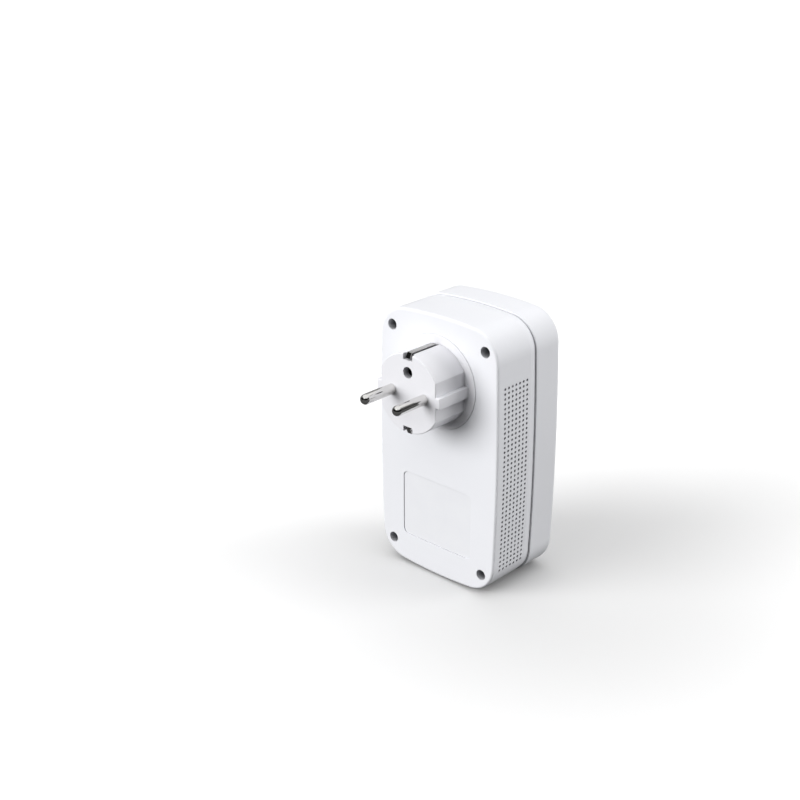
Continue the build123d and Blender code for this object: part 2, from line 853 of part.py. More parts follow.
# ---------------------------------------------------------------- power board and what stands on it
with BuildPart() as power_board:
    with BuildSketch(at_depth(power_board_depth)):
        with Locations((0, power_board_z)):
            RectangleRounded(power_board_width, power_board_height, board_corner_radius)
        with Locations(*power_post_points):
            Circle(board_screw_radius + board_hole_clearance, mode=Mode.SUBTRACT)
        for x, _ in pin_points:
            with Locations((x, busbar_foot_z)):
                Rectangle(
                    busbar_foot_width + 2 * busbar_foot_clearance,
                    busbar_foot_height + 2 * busbar_foot_clearance,
                    mode=Mode.SUBTRACT,
                )
    extrude(amount=board_thickness)
save(power_board, "power_board")

with BuildPart() as mains_fuse:
    with BuildSketch(at_depth(power_board_face)):
        with Locations((fuse_x, power_board_top - filter_row_drop)):
            Circle(fuse_radius)
    extrude(amount=fuse_height)
    fillet(mains_fuse.faces().sort_by(Axis.Y)[0].edges(), can_edge)
save(mains_fuse, "mains_fuse")

varistor_depth = power_board_face + varistor_radius + varistor_standoff
with BuildPart() as surge_varistor:
    with BuildSketch(Plane.YZ.offset(varistor_x - varistor_thickness / 2)):
        with Locations((-varistor_depth, power_board_top - filter_row_drop)):
            Circle(varistor_radius)
    extrude(amount=varistor_thickness)
    fillet(surge_varistor.edges(), varistor_edge)
save(surge_varistor, "surge_varistor")

x2_capacitor = block(
    x2_capacitor_x, power_board_top - filter_row_drop, x2_capacitor_size, power_board_face, x2_capacitor_edge
)
save(x2_capacitor, "x2_capacitor")

choke_z = power_board_top - choke_drop
choke_depth = power_board_face + choke_radius + choke_standoff
with BuildPart() as choke_core:
    with BuildSketch(Plane.YZ.offset(choke_x - choke_thickness / 2)):
        with Locations((-choke_depth, choke_z)):
            Circle(choke_radius)
            Circle(choke_hole_radius, mode=Mode.SUBTRACT)
    extrude(amount=choke_thickness)
    fillet(choke_core.edges(), choke_edge)
save(choke_core, "choke_core")

winding_inner_width = choke_thickness + 2 * winding_gap
winding_inner_height = choke_radius - choke_hole_radius + 2 * winding_gap
with BuildPart() as choke_windings:
    for angle in winding_angles:
        turn = Plane(origin=(choke_x, -choke_depth, choke_z), x_dir=(1, 0, 0), z_dir=(0, 0, 1))
        with BuildSketch(turn.rotated((angle, 0, 0))):
            with Locations((0, (choke_radius + choke_hole_radius) / 2)):
                Rectangle(winding_inner_width + 2 * winding_wire, winding_inner_height + 2 * winding_wire)
                Rectangle(winding_inner_width, winding_inner_height, mode=Mode.SUBTRACT)
        extrude(amount=winding_wire / 2, both=True)
save(choke_windings, "choke_windings")

with BuildPart() as bulk_capacitors:
    with BuildSketch(at_depth(power_board_face)):
        with Locations(*[(x, power_board_top - bulk_capacitor_drop) for x in bulk_capacitor_x]):
            Circle(bulk_capacitor_radius)
    extrude(amount=bulk_capacitor_height)
    fillet(bulk_capacitors.faces().sort_by(Axis.Y)[0:2].edges(), can_edge)
save(bulk_capacitors, "bulk_capacitors")

bridge_rectifier = block(
    bridge_place[0], power_board_top + bridge_place[1], bridge_size, power_board_face, bridge_edge
)
save(bridge_rectifier, "bridge_rectifier")

switching_chip = block(
    switching_chip_place[0],
    power_board_top + switching_chip_place[1],
    switching_chip_size,
    power_board_face,
    chip_edge,
)
save(switching_chip, "switching_chip")

transformer_z = power_board_top - transformer_drop
bobbin_core_depth = power_board_face + bobbin_foot + bobbin_clearance
bobbin_cap_depth = bobbin_core_depth + transformer_core_thickness + bobbin_clearance / 2
window_points = [(transformer_x, transformer_z + side * transformer_window_offset) for side in (1, -1)]
with BuildPart() as transformer_core:
    with BuildSketch(at_depth(bobbin_core_depth)):
        with Locations((transformer_x, transformer_z)):
            Rectangle(transformer_width, transformer_height)
        with Locations(*window_points):
            Rectangle(transformer_window_width, transformer_window_height, mode=Mode.SUBTRACT)
    extrude(amount=transformer_core_thickness)
save(transformer_core, "transformer_core")

with BuildPart() as transformer_bobbin:
    with BuildSketch(at_depth(power_board_face)):
        with Locations((transformer_x, transformer_z)):
            Rectangle(bobbin_width, bobbin_height)
    extrude(amount=bobbin_foot)
    with BuildSketch(at_depth(power_board_face + bobbin_foot)):
        with Locations(*window_points):
            Rectangle(transformer_window_width - 2 * bobbin_gap, transformer_window_height - 2 * bobbin_gap)
    extrude(amount=bobbin_cap_depth - power_board_face - bobbin_foot)
    with BuildSketch(at_depth(bobbin_cap_depth)):
        with Locations((transformer_x, transformer_z)):
            Rectangle(bobbin_cap_width, bobbin_cap_height)
    extrude(amount=bobbin_cap)
save(transformer_bobbin, "transformer_bobbin")

with BuildPart() as output_capacitor:
    with BuildSketch(at_depth(power_board_face)):
        with Locations((output_capacitor_x, power_board_top - output_capacitor_drop)):
            Circle(output_capacitor_radius)
    extrude(amount=output_capacitor_height)
    fillet(output_capacitor.faces().sort_by(Axis.Y)[0].edges(), can_edge)
save(output_capacitor, "output_capacitor")

coupling_transformer = block(
    coupling_place[0], power_board_top + coupling_place[1], coupling_size, power_board_face, coupling_edge
)
save(coupling_transformer, "coupling_transformer")

header_z = power_board_top - header_drop
with BuildPart() as board_header:
    with BuildSketch(at_depth(power_board_face)):
        with Locations((header_x, header_z)):
            Rectangle(header_width, header_body)
    extrude(amount=header_body)
    with BuildSketch(at_depth(power_board_face + header_body)):
        with Locations((header_x, header_z)):
            with GridLocations(header_pitch, 1, header_pins, 1):
                Rectangle(header_pin, header_pin)
    extrude(amount=main_board_depth - power_board_face - header_body)
save(board_header, "board_header")

with BuildPart() as power_board_screws:
    with BuildSketch(at_depth(power_board_face)):
        with Locations(*power_post_points):
            Circle(board_screw_head_radius)
    extrude(amount=board_screw_head)
    with BuildSketch(at_depth(power_board_face)):
        with Locations(*power_post_points):
            Circle(board_screw_radius)
    extrude(amount=-board_screw_length)
save(power_board_screws, "power_board_screws")

# ---------------------------------------------------------------- main board and what stands on it
# A foot of the board reaches down to the network jack.
main_board_height = main_board_top - (housing_bottom + wall + main_board_end_gap)

with BuildPart() as main_board:
    with BuildSketch(at_depth(main_board_depth)):
        with Locations((0, main_board_top - main_board_upper_height / 2)):
            RectangleRounded(main_board_width, main_board_upper_height, board_corner_radius)
        with Locations((0, main_board_top - main_board_height / 2)):
            Rectangle(main_board_foot_width, main_board_height)
        with Locations(*main_post_points):
            Circle(board_screw_radius + board_hole_clearance, mode=Mode.SUBTRACT)
    extrude(amount=board_thickness)
save(main_board, "main_board")

with BuildPart() as main_board_screws:
    with BuildSketch(at_depth(main_board_depth)):
        with Locations(*main_post_points):
            Circle(board_screw_head_radius)
    extrude(amount=-board_screw_head)
    with BuildSketch(at_depth(main_board_depth)):
        with Locations(*main_post_points):
            Circle(board_screw_radius)
    extrude(amount=board_screw_length)
save(main_board_screws, "main_board_screws")

processor_chip = block(processor_x, processor_z, processor_size, main_board_face, package_edge)
save(processor_chip, "processor_chip")

sink_depth = main_board_face + processor_size[2]
with BuildPart() as heat_sink:
    with BuildSketch(at_depth(sink_depth)):
        with Locations((processor_x, processor_z)):
            Rectangle(sink_size, sink_size)
    extrude(amount=sink_base)
    with BuildSketch(at_depth(sink_depth + sink_base)):
        with Locations((processor_x, processor_z)):
            with GridLocations(fin_pitch, 1, fin_count, 1):
                Rectangle(fin_thickness, sink_size)
    extrude(amount=fin_height)
save(heat_sink, "heat_sink")

memory_chip = block(*memory_place, memory_size, main_board_face, package_edge)
save(memory_chip, "memory_chip")

line_driver_chip = block(*line_driver_place, line_driver_size, main_board_face, chip_edge)
save(line_driver_chip, "line_driver_chip")

lan_transformer = block(*lan_transformer_place, lan_transformer_size, main_board_face, package_edge)
save(lan_transformer, "lan_transformer")

with BuildPart() as quartz_crystal:
    with BuildSketch(at_depth(main_board_face)):
        with Locations(crystal_place):
            SlotOverall(crystal_length, crystal_width)
    extrude(amount=crystal_height)
    fillet(quartz_crystal.faces().sort_by(Axis.Y)[0].edges(), can_edge)
save(quartz_crystal, "quartz_crystal")

# ---------------------------------------------------------------- network jack, mouth downwards
jack_plane = Plane.XY.offset(jack_mouth_z)
jack_inside_width = jack_width - 2 * jack_shield
jack_inside_height = jack_height - 2 * jack_shield
jack_bore_depth_centre = main_board_depth - jack_shield - jack_floor - jack_bore_height / 2

with BuildPart() as jack_shell:
    with BuildSketch(jack_plane):
        with Locations((0, -jack_mid_depth)):
            Rectangle(jack_width, jack_height)
            Rectangle(jack_inside_width, jack_inside_height, mode=Mode.SUBTRACT)
    extrude(amount=jack_length)
    with BuildSketch(jack_plane.offset(jack_length)):
        with Locations((0, -jack_mid_depth)):
            Rectangle(jack_width, jack_height)
    extrude(amount=-jack_shield)
save(jack_shell, "jack_shield")

with BuildPart() as jack_housing:
    with BuildSketch(jack_plane):
        with Locations((0, -jack_mid_depth)):
            Rectangle(jack_inside_width, jack_inside_height)
    extrude(amount=jack_length - jack_shield)
    with BuildSketch(jack_plane):
        with Locations((0, -jack_bore_depth_centre)):
            Rectangle(jack_bore_width, jack_bore_height)
            with Locations((0, (jack_bore_height + jack_latch_height) / 2)):
                Rectangle(jack_latch_width, jack_latch_height + join_overlap)
    extrude(amount=jack_bore_depth, mode=Mode.SUBTRACT)
save(jack_housing, "jack_housing")

with BuildPart() as jack_bezel:
    with BuildSketch(Plane.XY.offset(housing_bottom + bezel_sink)):
        with Locations((0, -jack_mid_depth)):
            Rectangle(bezel_width, bezel_height)
    extrude(amount=bezel_thickness)
    # A lip behind the wall holds the bezel in its window.
    with BuildSketch(Plane.XY.offset(housing_bottom + wall + bezel_lip_gap)):
        with Locations((0, -jack_mid_depth)):
            Rectangle(bezel_width + 2 * bezel_lip, bezel_height + 2 * bezel_lip)
    extrude(amount=bezel_lip_thickness)
    with BuildSketch(Plane.XY.offset(housing_bottom + bezel_sink)):
        with Locations((0, -jack_mid_depth)):
            Rectangle(bezel_width - 2 * bezel_lip, bezel_height - 2 * bezel_lip)
    extrude(amount=wall + bezel_lip_gap + bezel_lip_thickness - bezel_sink)
    with BuildSketch(Plane.XY.offset(housing_bottom)):
        with Locations((0, -jack_mid_depth)):
            Rectangle(jack_width + 2 * jack_window_clearance, jack_height + 2 * jack_window_clearance)
    extrude(amount=2 * wall, mode=Mode.SUBTRACT)
save(jack_bezel, "jack_bezel")

wire_wall_y = -(main_board_depth - jack_shield - jack_floor)
wire_root_z = jack_mouth_z + jack_bore_depth
with BuildPart() as jack_contacts:
    for i in range(jack_wires):
        x = (i - (jack_wires - 1) / 2) * jack_wire_pitch
        with BuildSketch(Plane.YZ.offset(x - jack_wire / 2)):
            with BuildLine() as bend:
                Polyline(
                    (wire_wall_y + jack_wire / 2, jack_mouth_z + jack_wire_tip),
                    (wire_wall_y + jack_wire_lift, jack_mouth_z + jack_wire_bend),
                    (wire_wall_y + jack_wire_reach, wire_root_z - jack_wire / 2),
                )
            trace(bend.line, jack_wire)
        extrude(amount=jack_wire)
save(jack_contacts, "jack_contacts")

# ---------------------------------------------------------------- pair button and its switch
plunger_start = main_board_face + switch_floor + button_travel + plunger_floor_gap
plunger_tip = main_board_face + switch_height + plunger_height

with BuildPart() as switch_base:
    with BuildSketch(at_depth(main_board_face)):
        with Locations((0, -button_drop)):
            Rectangle(switch_size, switch_size)
    extrude(amount=switch_height)
    fillet(switch_base.edges().filter_by(Axis.Y), switch_edge_radius)
    with BuildSketch(at_depth(main_board_face + switch_floor)):
        with Locations((0, -button_drop)):
            Circle(plunger_radius + plunger_clearance)
    extrude(amount=switch_height - switch_floor, mode=Mode.SUBTRACT)
save(switch_base, "switch_base")

with BuildPart() as switch_plunger:
    with BuildSketch(at_depth(plunger_start)):
        with Locations((0, -button_drop)):
            Circle(plunger_radius)
    extrude(amount=plunger_tip - plunger_start)
    fillet(switch_plunger.faces().sort_by(Axis.Y)[0].edges(), plunger_edge_radius)
save(switch_plunger, "switch_plunger")

with BuildPart() as pair_button:
    with BuildSketch(at_depth(plunger_tip)):
        with Locations((0, -button_drop)):
            Circle(button_stem_radius)
    extrude(amount=front_inside - plunger_tip)
    with BuildSketch(at_depth(front_inside)):
        with Locations((0, -button_drop)):
            Circle(button_flange_radius)
    extrude(amount=-button_flange)
    with BuildSketch(at_depth(front_inside)):
        with Locations((0, -button_drop)):
            Circle(button_radius)
    extrude(amount=wall + button_proud)
    fillet(pair_button.faces().sort_by(Axis.Y)[0].edges(), button_edge_radius)
save(pair_button, "pair_button")

# ---------------------------------------------------------------- status lights
with BuildPart() as status_leds:
    with BuildSketch(at_depth(main_board_face)):
        with Locations(*light_points):
            Rectangle(led_width, led_depth)
    extrude(amount=led_height)
save(status_leds, "status_leds")

guide_start = main_board_face + led_height + led_gap
with BuildPart() as light_guide:
    with BuildSketch(at_depth(guide_start)):
        with Locations(*light_points):
            SlotOverall(light_window_width, light_window_height)
    extrude(amount=front_face - guide_start)
    with BuildSketch(at_depth(front_inside)):
        with Locations((0, -light_drop)):
            Rectangle(
                (light_count - 1) * light_pitch + light_window_width + 2 * light_base_margin,
                light_window_height + 2 * light_base_margin,
            )
    extrude(amount=-light_base_thickness)
save(light_guide, "light_guide")

# ---------------------------------------------------------------- insulating sheet between the boards
sheet_cut_width = header_width + 2 * sheet_cut_margin
sheet_cut_height = header_body + 2 * sheet_cut_margin
with BuildPart() as insulating_sheet:
    with BuildSketch(at_depth(main_board_depth - sheet_gap)):
        with Locations((0, power_board_z)):
            Rectangle(power_board_width - 2 * sheet_side_margin, power_board_height - 2 * sheet_end_margin)
        with Locations((header_x, header_z)):
            Rectangle(sheet_cut_width, sheet_cut_height, mode=Mode.SUBTRACT)
    extrude(amount=-sheet_thickness)
save(insulating_sheet, "insulating_sheet")
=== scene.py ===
import json
import math

import bmesh
import bpy
from mathutils import Matrix, Vector


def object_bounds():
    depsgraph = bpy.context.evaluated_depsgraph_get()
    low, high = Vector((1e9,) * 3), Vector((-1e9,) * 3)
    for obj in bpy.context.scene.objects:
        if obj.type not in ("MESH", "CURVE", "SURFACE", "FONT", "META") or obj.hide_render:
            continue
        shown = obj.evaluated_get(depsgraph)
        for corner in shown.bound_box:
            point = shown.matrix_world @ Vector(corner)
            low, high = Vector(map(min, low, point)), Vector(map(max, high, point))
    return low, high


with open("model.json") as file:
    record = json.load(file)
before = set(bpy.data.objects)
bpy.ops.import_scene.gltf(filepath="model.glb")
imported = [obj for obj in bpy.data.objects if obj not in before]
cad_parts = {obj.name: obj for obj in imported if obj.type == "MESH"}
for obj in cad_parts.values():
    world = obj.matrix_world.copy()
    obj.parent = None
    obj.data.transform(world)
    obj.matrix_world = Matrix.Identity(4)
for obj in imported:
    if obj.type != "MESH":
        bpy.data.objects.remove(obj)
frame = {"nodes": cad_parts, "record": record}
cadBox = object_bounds()
mm = 0.001  # one millimetre in Blender's metres
print("frame loaded:", len(frame["nodes"]), "nodes")


def linear(hexColour):
    # sRGB hex to the linear colour that a shader socket wants
    values = [int(hexColour[i:i + 2], 16) / 255 for i in (1, 3, 5)]
    return [v / 12.92 if v <= 0.04045 else ((v + 0.055) / 1.055) ** 2.4 for v in values] + [1.0]


def addNode(tree, kind, settings=None, **links):
    # settings are properties and socket values by name, or by number where names repeat;
    # a link is named after its input with _ for each space, or _ and the input's number.
    # A Mix node has its factor at input 0, its colours at 6 and 7, and the result at output 2
    node = tree.nodes.new(kind)
    for name, value in (settings or {}).items():
        if isinstance(name, int) or name in node.inputs:
            node.inputs[name].default_value = value
        else:
            setattr(node, name, value)
    for name, source in links.items():
        key = int(name[1:]) if name[0] == "_" and name[1:].isdigit() else name.replace("_", " ")
        tree.links.new(source, node.inputs[key])
    return node


def newMaterial(name):
    # an empty node tree, and the piece's own coordinates in metres
    material = bpy.data.materials.new(name)
    material.use_nodes = True
    tree = material.node_tree
    tree.nodes.clear()
    place = addNode(tree, "ShaderNodeTexCoord").outputs["Object"]
    return material, tree, place


def perMetre(sizeMm):
    # texture scale for a pattern whose features are this many millimetres apart
    return 1.0 / (sizeMm * mm)


# ABS, moulded in a spark-eroded tool: a cool white with a soft satin sheen
caseAbs = {
    "light": "#F2F3F7", "dark": "#EDEEF2", "cloudMm": 38.0,
    "roughness": (0.34, 0.44), "ior": 1.54,
    "grainMm": 0.45, "grainDepthMm": 0.012,
    # the last two entries set the painted shade in recesses: how far it looks for walls, and its dark
    # colour
    "edgeMm": 0.15, "glow": 0.0, "paintedShadeMm": 8.0, "paintedShadeColour": "#4A4B51",
}
# polyamide, moulded in a polished tool: a touch greyer and glossier than the case
plugPolyamide = {
    "light": "#F0F0F4", "dark": "#EAEAEE", "cloudMm": 16.0,
    "roughness": (0.28, 0.38), "ior": 1.53,
    "grainMm": 0.7, "grainDepthMm": 0.006,
    # the last two entries set the painted shade in recesses: how far it looks for walls, and its dark
    # colour
    "edgeMm": 0.2, "glow": 0.0, "paintedShadeMm": 8.0, "paintedShadeColour": "#4A4B51",
}
# glass-filled polyamide, moulded: dull, with short fibre marks
carrierPolyamide = {
    "light": "#D2D2D4", "dark": "#C2C2C6", "cloudMm": 4.0,
    "roughness": (0.5, 0.65), "ior": 1.55,
    "grainMm": 0.3, "grainDepthMm": 0.02,
    "edgeMm": 0.15, "glow": 0.0,
}
# acetal, moulded: waxy, dense white with a slight shine
shutterAcetal = {
    "light": "#EDEDEA", "dark": "#E2E2DF", "cloudMm": 6.0,
    "roughness": (0.25, 0.35), "ior": 1.48,
    "grainMm": 0.6, "grainDepthMm": 0.004,
    "edgeMm": 0.15, "glow": 0.1,
}
# epoxy moulding compound, moulded: near black, matt, with a fine sandy surface
packageEpoxy = {
    "light": "#2B2C30", "dark": "#1E1F23", "cloudMm": 3.0,
    "roughness": (0.5, 0.68), "ior": 1.55,
    "grainMm": 0.25, "grainDepthMm": 0.015,
    "edgeMm": 0.12, "glow": 0.0,
}
# epoxy, dipped and cured: deep blue with a soft uneven gloss
dippedEpoxy = {
    "light": "#2B5FA8", "dark": "#1F4A8C", "cloudMm": 3.0,
    "roughness": (0.22, 0.38), "ior": 1.55,
    "grainMm": 1.6, "grainDepthMm": 0.03,
    "edgeMm": 0.3, "glow": 0.0,
}
# PBT box potted with resin: glossy warm yellow
pottedBox = {
    "light": "#E8BE3C", "dark": "#DDAF2C", "cloudMm": 5.0,
    "roughness": (0.25, 0.36), "ior": 1.57,
    "grainMm": 0.8, "grainDepthMm": 0.008,
    "edgeMm": 0.2, "glow": 0.0,
}
# PVC sleeve, shrunk over an aluminium can: glossy black with faint draw lines
shrunkSleeve = {
    "light": "#26282E", "dark": "#1B1C21", "cloudMm": 4.0,
    "roughness": (0.22, 0.34), "ior": 1.53,
    "grainMm": 1.2, "grainDepthMm": 0.012,
    "edgeMm": 0.2, "glow": 0.0,
}
# polyester film, printed matt: a flat paper-like white with hardly any highlight
labelFilm = {
    "light": "#EFF0F3", "dark": "#EAEBEF", "cloudMm": 9.0,
    "roughness": (0.5, 0.58), "ior": 1.57,
    "grainMm": 0.5, "grainDepthMm": 0.005,
    "edgeMm": 0.05, "glow": 0.0,
}
# polyester sheet, calendered: milky and slightly glossy
insulationSheet = {
    "light": "#DAD9CF", "dark": "#CFCEC3", "cloudMm": 7.0,
    "roughness": (0.25, 0.36), "ior": 1.6,
    "grainMm": 1.0, "grainDepthMm": 0.006,
    "edgeMm": 0.05, "glow": 0.0,
}
# ferrite, pressed and sintered: dark grey, dry, with pressed pores
sinteredFerrite = {
    "light": "#4A4B50", "dark": "#35363B", "cloudMm": 2.0,
    "roughness": (0.55, 0.75), "ior": 1.8,
    "grainMm": 0.22, "grainDepthMm": 0.03,
    "edgeMm": 0.2, "glow": 0.0,
}
# ceramic and silicone light package: creamy, softly glowing
lightPackage = {
    "light": "#EFEAD2", "dark": "#E4DDBE", "cloudMm": 1.2,
    "roughness": (0.3, 0.45), "ior": 1.5,
    "grainMm": 0.3, "grainDepthMm": 0.005,
    "edgeMm": 0.08, "glow": 0.08,
}

# what all the mouldings share; a real moulded grain is 0.05 to 0.2 mm, and each grainMm
# above is coarser so that it shows
moulding = {
    "cloudDetail": 3.0, "cloudFalloff": 0.55, "grainDetail": 2.0, "grainFalloff": 0.6,
    "edgeSamples": 4, "bumpStrength": 0.6,
    # the painted shade in recesses: its samples, and the shares of open sky below which it is full and
    # above which it is gone
    "paintedShadeSamples": 6, "closedBelow": 0.08, "openAbove": 0.42,  # shares of open sky over the surface
    "bleedMm": (1.2, 1.0, 0.9),
}


def mouldedPlastic(name, look):
    # broad cloudy colour from the flow of the melt, a fine grain from the tool, softened edges, and
    # painted shade in recesses where the look sets it
    material, tree, place = newMaterial(name)
    cloud = addNode(tree, "ShaderNodeTexNoise",
                    {"Scale": perMetre(look["cloudMm"]), "Detail": moulding["cloudDetail"],
                     "Roughness": moulding["cloudFalloff"]}, Vector=place)
    grain = addNode(tree, "ShaderNodeTexNoise",
                    {"Scale": perMetre(look["grainMm"]), "Detail": moulding["grainDetail"],
                     "Roughness": moulding["grainFalloff"]}, Vector=place)
    edge = addNode(tree, "ShaderNodeBevel",
                   {"samples": moulding["edgeSamples"], "Radius": look["edgeMm"] * mm})
    bump = addNode(tree, "ShaderNodeBump",
                   {"Strength": moulding["bumpStrength"], "Distance": look["grainDepthMm"] * mm},
                   Height=grain.outputs[0], Normal=edge.outputs[0])
    colour = addNode(tree, "ShaderNodeMix",
                     {"data_type": "RGBA", 6: linear(look["dark"]), 7: linear(look["light"])},
                     _0=cloud.outputs[0])
    if "paintedShadeMm" in look:
        # painted shade: in wells, vents and the seam the colour is painted darker where walls close in,
        # taken from the ambient occlusion
        openness = addNode(tree, "ShaderNodeAmbientOcclusion",
                           {"samples": moulding["paintedShadeSamples"], "Distance": look["paintedShadeMm"] * mm})
        openShare = addNode(tree, "ShaderNodeMapRange",
                            {"From Min": moulding["closedBelow"], "From Max": moulding["openAbove"]},
                            Value=openness.outputs["AO"])
        colour = addNode(tree, "ShaderNodeMix", {"data_type": "RGBA", 6: linear(look["paintedShadeColour"])},
                         _0=openShare.outputs[0], _7=colour.outputs[2])
    smoothest, roughest = look["roughness"]
    gloss = addNode(tree, "ShaderNodeMapRange", {"To Min": smoothest, "To Max": roughest},
                    Value=grain.outputs[0])
    shader = addNode(tree, "ShaderNodeBsdfPrincipled",
                     {"IOR": look["ior"], "Subsurface Weight": look["glow"],
                      "Subsurface Radius": [size * mm for size in moulding["bleedMm"]],
                      "Subsurface Scale": 1.0},
                     Base_Color=colour.outputs[2], Roughness=gloss.outputs[0], Normal=bump.outputs[0])
    addNode(tree, "ShaderNodeOutputMaterial", Surface=shader.outputs[0])
    return material


# brass, turned, tumbled and plated with bright nickel: crisp streaks with rings left by the lathe
nickelPlate = {
    "light": "#E4E3E1", "dark": "#D2D1CF", "cloudMm": 3.0, "roughness": (0.06, 0.14),
    "lineMm": (2.5, 0.16, 2.5), "lineDepthMm": 0.0015, "edgeMm": 0.15,  # rings across Y, the pins' axis
}
# phosphor bronze strip, rolled and tin plated: a soft grey shine brushed along its length
tinnedBronze = {
    "light": "#C2C1BF", "dark": "#A5A4A2", "cloudMm": 2.2, "roughness": (0.18, 0.3),
    "lineMm": (0.14, 6.0, 0.14), "lineDepthMm": 0.004, "edgeMm": 0.12,
}
# steel sheet, rolled and tin plated: pale, cool and faintly streaked
tinnedSheet = {
    "light": "#C8CACE", "dark": "#B0B2B7", "cloudMm": 4.0, "roughness": (0.2, 0.34),
    "lineMm": (0.2, 0.2, 7.0), "lineDepthMm": 0.004, "edgeMm": 0.15,
}
# steel, cold headed and zinc plated: blue-grey with the matt bloom of the passivation
zincPlate = {
    "light": "#B9BCC2", "dark": "#8D9096", "cloudMm": 1.4, "roughness": (0.28, 0.45),
    "lineMm": (0.25, 0.25, 0.25), "lineDepthMm": 0.006, "edgeMm": 0.15,
}
# brass strip, stamped and left bare: warm yellow, dulled in patches by handling
stampedBrass = {
    "light": "#D8B45E", "dark": "#B98F42", "cloudMm": 3.0, "roughness": (0.22, 0.38),
    "lineMm": (0.2, 0.2, 5.0), "lineDepthMm": 0.004, "edgeMm": 0.12,
}
# copper wire under polyurethane enamel: deep orange with a lacquer shine
enamelledCopper = {
    "light": "#C26A34", "dark": "#A3501F", "cloudMm": 1.6, "roughness": (0.2, 0.32),
    "lineMm": (0.4, 0.4, 0.4), "lineDepthMm": 0.004, "edgeMm": 0.2,
}
# music wire, drawn: dark bright steel with draw marks
drawnSpring = {
    "light": "#9A9CA2", "dark": "#7B7D83", "cloudMm": 1.0, "roughness": (0.24, 0.34),
    "lineMm": (0.3, 0.3, 0.3), "lineDepthMm": 0.003, "edgeMm": 0.05,
}
# aluminium, extruded: pale grey with long die lines
extrudedAluminium = {
    "light": "#D4D6DA", "dark": "#BEC0C5", "cloudMm": 3.5, "roughness": (0.28, 0.42),
    "lineMm": (0.16, 0.16, 6.0), "lineDepthMm": 0.006, "edgeMm": 0.12,
}
# gold flash on bronze wire: bright yellow and very smooth
goldWire = {
    "light": "#EBCB7A", "dark": "#D9B45C", "cloudMm": 1.2, "roughness": (0.14, 0.24),
    "lineMm": (0.2, 0.2, 3.0), "lineDepthMm": 0.002, "edgeMm": 0.05,
}

# what all the metals share; tool lines are finer in life than each lineMm above, which is
# coarser so that they show
metalwork = {
    "cloudDetail": 3.0, "cloudFalloff": 0.6, "lineDetail": 2.0, "lineFalloff": 0.5,
    "edgeSamples": 4, "bumpStrength": 0.5,
}


def platedMetal(name, look):
    # colour and shine drift a little over the metal, and fine tool lines run one way
    material, tree, place = newMaterial(name)
    cloud = addNode(tree, "ShaderNodeTexNoise",
                    {"Scale": perMetre(look["cloudMm"]), "Detail": metalwork["cloudDetail"],
                     "Roughness": metalwork["cloudFalloff"]}, Vector=place)
    stretch = addNode(tree, "ShaderNodeMapping",
                      {"Scale": [perMetre(size) for size in look["lineMm"]]}, Vector=place)
    lines = addNode(tree, "ShaderNodeTexNoise",
                    {"Scale": 1.0, "Detail": metalwork["lineDetail"],
                     "Roughness": metalwork["lineFalloff"]}, Vector=stretch.outputs[0])
    edge = addNode(tree, "ShaderNodeBevel",
                   {"samples": metalwork["edgeSamples"], "Radius": look["edgeMm"] * mm})
    bump = addNode(tree, "ShaderNodeBump",
                   {"Strength": metalwork["bumpStrength"], "Distance": look["lineDepthMm"] * mm},
                   Height=lines.outputs[0], Normal=edge.outputs[0])
    colour = addNode(tree, "ShaderNodeMix",
                     {"data_type": "RGBA", 6: linear(look["dark"]), 7: linear(look["light"])},
                     _0=cloud.outputs[0])
    smoothest, roughest = look["roughness"]
    gloss = addNode(tree, "ShaderNodeMapRange", {"To Min": smoothest, "To Max": roughest},
                    Value=lines.outputs[0])
    shader = addNode(tree, "ShaderNodeBsdfPrincipled", {"Metallic": 1.0},
                     Base_Color=colour.outputs[2], Roughness=gloss.outputs[0], Normal=bump.outputs[0])
    addNode(tree, "ShaderNodeOutputMaterial", Surface=shader.outputs[0])
    return material


# glass-epoxy board under green solder mask: mask gloss over slightly raised copper tracks
boardMask = {
    "bare": "#1E5C3A", "overCopper": "#2E7A4C", "roughness": 0.32, "ior": 1.55,
    "trackMm": 2.4, "copperFrom": 0.44, "copperFull": 0.5, "raisedMm": 0.035, "bumpStrength": 0.7,
    "weaveMm": 0.5, "weaveShare": 0.12,
    "faceTurn": (math.pi / 2, 0.0, 0.0),  # the pattern lies in the board's own plane, XZ
}


def printedBoard(name, look):
    # square-sided cells stand for the tracks, coarser than real ones so that they show, and the
    # glass weave shows faintly under the mask
    material, tree, place = newMaterial(name)
    turned = addNode(tree, "ShaderNodeMapping", {"Rotation": look["faceTurn"]}, Vector=place)
    cells = addNode(tree, "ShaderNodeTexVoronoi",
                    {"distance": "MANHATTAN", "feature": "F1", "Scale": perMetre(look["trackMm"])},
                    Vector=turned.outputs[0])
    copper = addNode(tree, "ShaderNodeMapRange",
                     {"From Min": look["copperFrom"], "From Max": look["copperFull"]},
                     Value=cells.outputs[0])
    weave = addNode(tree, "ShaderNodeTexChecker", {"Scale": perMetre(look["weaveMm"])},
                    Vector=turned.outputs[0])
    height = addNode(tree, "ShaderNodeMath", {"operation": "MULTIPLY_ADD", 1: look["weaveShare"]},
                     _0=weave.outputs["Fac"], _2=copper.outputs[0])
    bump = addNode(tree, "ShaderNodeBump",
                   {"Strength": look["bumpStrength"], "Distance": look["raisedMm"] * mm},
                   Height=height.outputs[0])
    colour = addNode(tree, "ShaderNodeMix",
                     {"data_type": "RGBA", 6: linear(look["bare"]), 7: linear(look["overCopper"])},
                     _0=copper.outputs[0])
    shader = addNode(tree, "ShaderNodeBsdfPrincipled",
                     {"IOR": look["ior"], "Roughness": look["roughness"]},
                     Base_Color=colour.outputs[2], Normal=bump.outputs[0])
    addNode(tree, "ShaderNodeOutputMaterial", Surface=shader.outputs[0])
    return material


